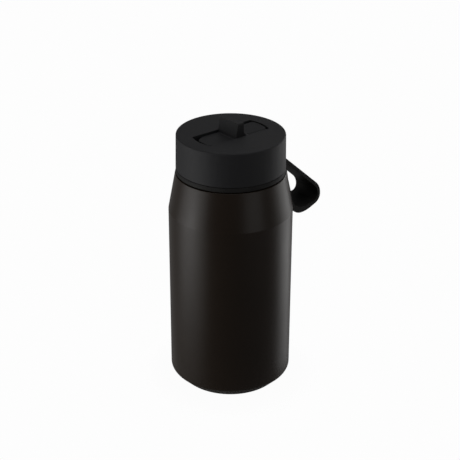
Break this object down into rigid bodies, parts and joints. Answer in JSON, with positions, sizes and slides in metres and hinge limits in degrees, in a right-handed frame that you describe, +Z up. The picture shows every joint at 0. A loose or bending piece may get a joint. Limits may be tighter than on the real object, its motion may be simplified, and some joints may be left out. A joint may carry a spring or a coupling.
{
  "type": "vacuum flask",
  "caption": "Short double-walled vacuum flask with a flat screw lid, a flip-up drinking spout with a thumb fin, and a soft finger loop on a ring under the lid.",
  "frame": {"origin": "on the flask's axis, in the plane of the foot pad's lower face", "axes": "+Z up along the flask's axis; +X towards the finger loop, along the channel in the lid"},
  "size_m": [0.1035, 0.0764, 0.1745],
  "materials": {
    "coated_steel": "matt black powder coat",
    "bare_steel": "brushed stainless steel",
    "copper_foil": "copper foil",
    "braze_glass": "brazing glass",
    "getter_metal": "sintered metal",
    "brushed_base": "spun stainless steel",
    "foot_silicone": "matt silicone",
    "loop_silicone": "matt black silicone",
    "lid_plastic": "fine-grained black plastic",
    "inner_plastic": "matt black plastic",
    "seal_silicone": "translucent grey silicone",
    "foam": "bead foam",
    "pin_steel": "drawn stainless wire",
    "spout_plastic": "fine-grained black plastic",
    "mouth_silicone": "soft-touch black silicone"
  },
  "bodies": {
    "flask": {"outer_shell": "coated_steel", "inner_vessel": "bare_steel", "heat_shield": "copper_foil", "base_plate": "bare_steel", "vacuum_seal": "braze_glass", "getter": "getter_metal", "base_cover": "brushed_base", "foot_pad": "foot_silicone"},
    "loop": {"carry_loop": "loop_silicone"},
    "lid": {"lid_shell": "lid_plastic", "inner_cap": "inner_plastic", "lid_gasket": "seal_silicone", "lid_foam": "foam", "plug_cover": "inner_plastic", "vent_valve": "seal_silicone", "spout_seat": "seal_silicone", "hinge_pins": "pin_steel"},
    "spout": {"spout_arm": "spout_plastic", "mouthpiece": "mouth_silicone"}
  },
  "joints": [
    {"name": "loop_swivel", "type": "hinge", "parent": "flask", "child": "loop", "pos_m": [0, 0, 0.1431], "axis": [0, 0, 1], "continuous": true},
    {"name": "lid_lift", "type": "slide", "parent": "flask", "child": "lid", "axis": [0, 0, 1], "range_m": [0, 0.06]},
    {"name": "spout_flip", "type": "hinge", "parent": "lid", "child": "spout", "pos_m": [-0.0134, 0, 0.1604], "axis": [0, -1, 0], "range_deg": [0, 90]}
  ]
}
